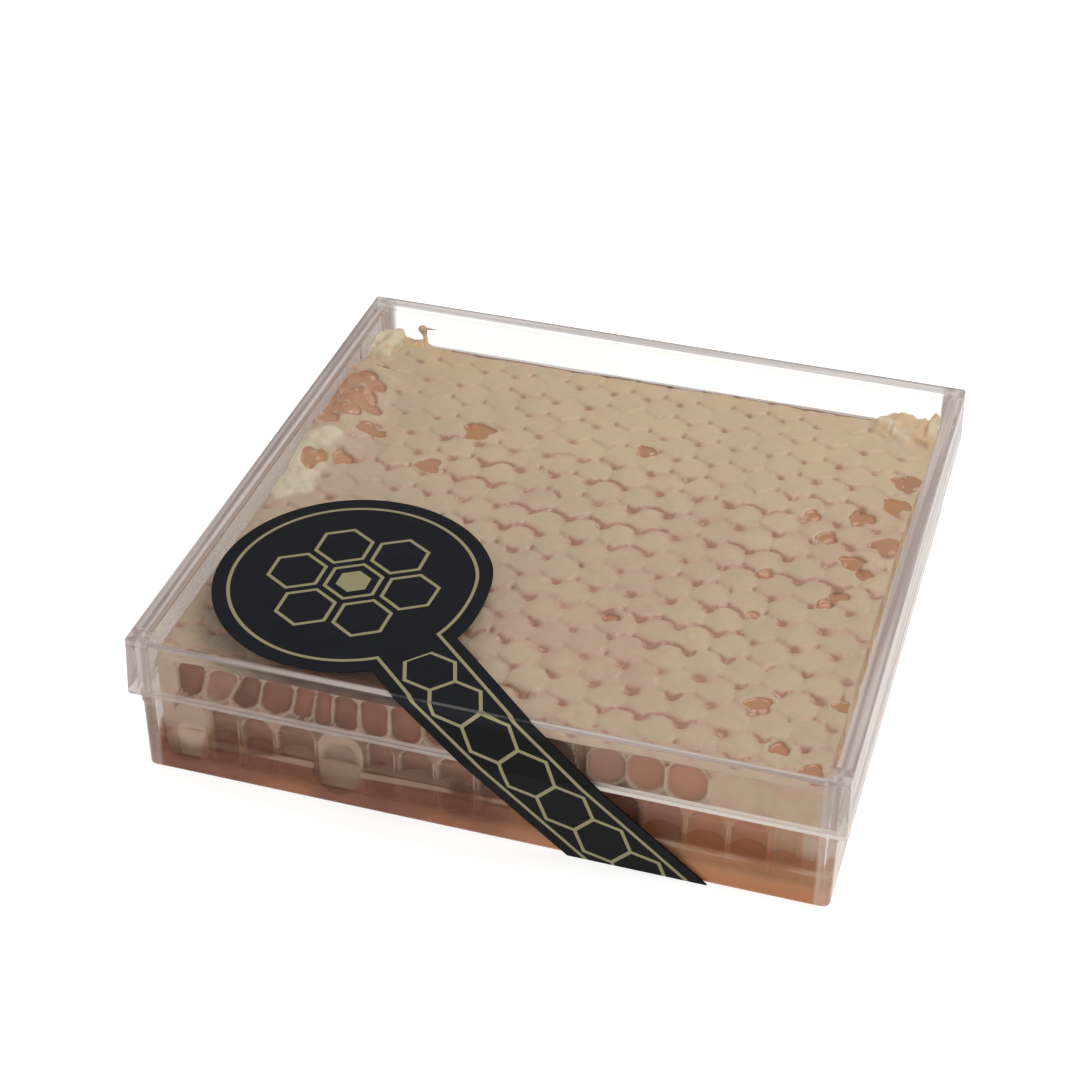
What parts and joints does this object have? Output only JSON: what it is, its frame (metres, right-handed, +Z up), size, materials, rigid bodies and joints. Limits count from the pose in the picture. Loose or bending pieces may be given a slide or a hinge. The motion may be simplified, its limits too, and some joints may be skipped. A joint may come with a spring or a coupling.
{
  "type": "honeycomb piece in clear box",
  "caption": "Slab of capped honeycomb with run-out honey in a shut, clear square box with a telescoping lid and a bent strip label.",
  "frame": {"origin": "under the middle of the bounding box, on the surface the box stands on", "axes": "+X to the right along the front edge, +Y from the front to the back, +Z up; the label bends over the front edge"},
  "size_m": [0.1056, 0.1059, 0.0242],
  "materials": {
    "clear_tray": "clear moulded polystyrene, gloss",
    "clear_lid": "clear moulded polystyrene, gloss",
    "beeswax": "pale beeswax cappings, satin",
    "honey": "amber honey, wet gloss",
    "label": "black film label with gold line print, satin"
  },
  "bodies": {
    "root": {"tray": "clear_tray", "lid": "clear_lid", "comb": "beeswax", "honey": "honey", "label": "label"}
  },
  "joints": []
}
